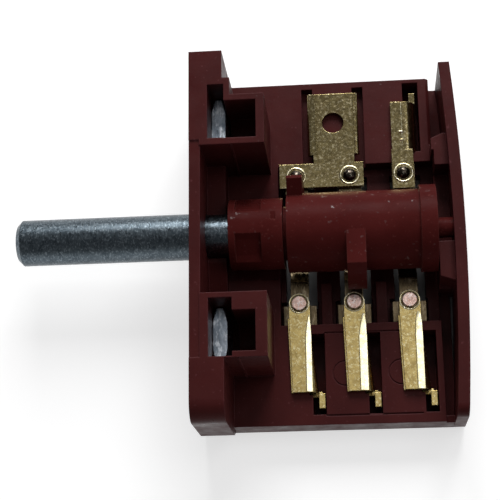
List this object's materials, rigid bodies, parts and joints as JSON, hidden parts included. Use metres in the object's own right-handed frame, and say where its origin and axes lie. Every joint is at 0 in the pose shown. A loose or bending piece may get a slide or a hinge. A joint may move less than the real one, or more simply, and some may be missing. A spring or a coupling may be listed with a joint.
{
  "type": "oven selector switch",
  "caption": "Rotary selector switch for an oven: a steel knob shaft turns a cam drum over spring contacts in an open moulded tray with tab terminals.",
  "frame": {"origin": "where the shaft axis crosses the mounting face at the front of the flange", "axes": "+X runs back along the shaft into the switch, +Y runs up the flange as it is seen in the picture, +Z points out of the open side of the tray; the switch lies on its back"},
  "size_m": [0.0577, 0.0476, 0.0168],
  "materials": {
    "housing_plastic": "dark bordeaux thermoset moulding with a soft sheen",
    "drum_plastic": "red-brown moulding, half gloss",
    "zinc_steel": "bright zinc plated",
    "terminal_brass": "stamped sheet, slightly mottled",
    "spring_bronze": "rolled spring strip",
    "dark_rivet": "dark domed rivet heads",
    "contact_copper": "copper coloured contact heads"
  },
  "bodies": {
    "switch_body": {"housing": "housing_plastic", "upper_nut": "zinc_steel", "lower_nut": "zinc_steel", "detent_spring": "zinc_steel", "common_terminal": "terminal_brass", "upper_terminal": "terminal_brass", "lower_terminal_1": "terminal_brass", "lower_terminal_2": "terminal_brass", "lower_terminal_3": "terminal_brass", "leaf_rivets": "dark_rivet", "fixed_contacts": "contact_copper"},
    "rotor": {"shaft": "zinc_steel", "cam_drum": "drum_plastic"},
    "ball": {"detent_ball": "zinc_steel"},
    "leaf_1": {"leaf_spring_1": "spring_bronze", "moving_contact_1": "contact_copper"},
    "leaf_2": {"leaf_spring_2": "spring_bronze", "moving_contact_2": "contact_copper"},
    "leaf_3": {"leaf_spring_3": "spring_bronze", "moving_contact_3": "contact_copper"}
  },
  "joints": [
    {"name": "selector_turn", "type": "hinge", "parent": "switch_body", "child": "rotor", "pos_m": [0, 0, 0], "axis": [-1, 0, 0], "continuous": true},
    {"name": "leaf_1_close", "type": "hinge", "parent": "switch_body", "child": "leaf_1", "pos_m": [0.0129, 0.0102, -0.00375], "axis": [-1, 0, 0], "range_deg": [0, 3.5]},
    {"name": "leaf_2_open", "type": "hinge", "parent": "switch_body", "child": "leaf_2", "pos_m": [0.02, 0.0102, -0.00375], "axis": [1, 0, 0], "range_deg": [-3.5, 0]},
    {"name": "leaf_3_open", "type": "hinge", "parent": "switch_body", "child": "leaf_3", "pos_m": [0.0271, 0.0102, -0.00375], "axis": [1, 0, 0], "range_deg": [0, 3.5], "stiffness_Nm_per_rad": 0.1, "springref_deg": -1.72},
    {"name": "ball_press", "type": "slide", "parent": "switch_body", "child": "ball", "axis": [0, -0.6428, 0.766], "range_m": [0, 0.0005]}
  ]
}
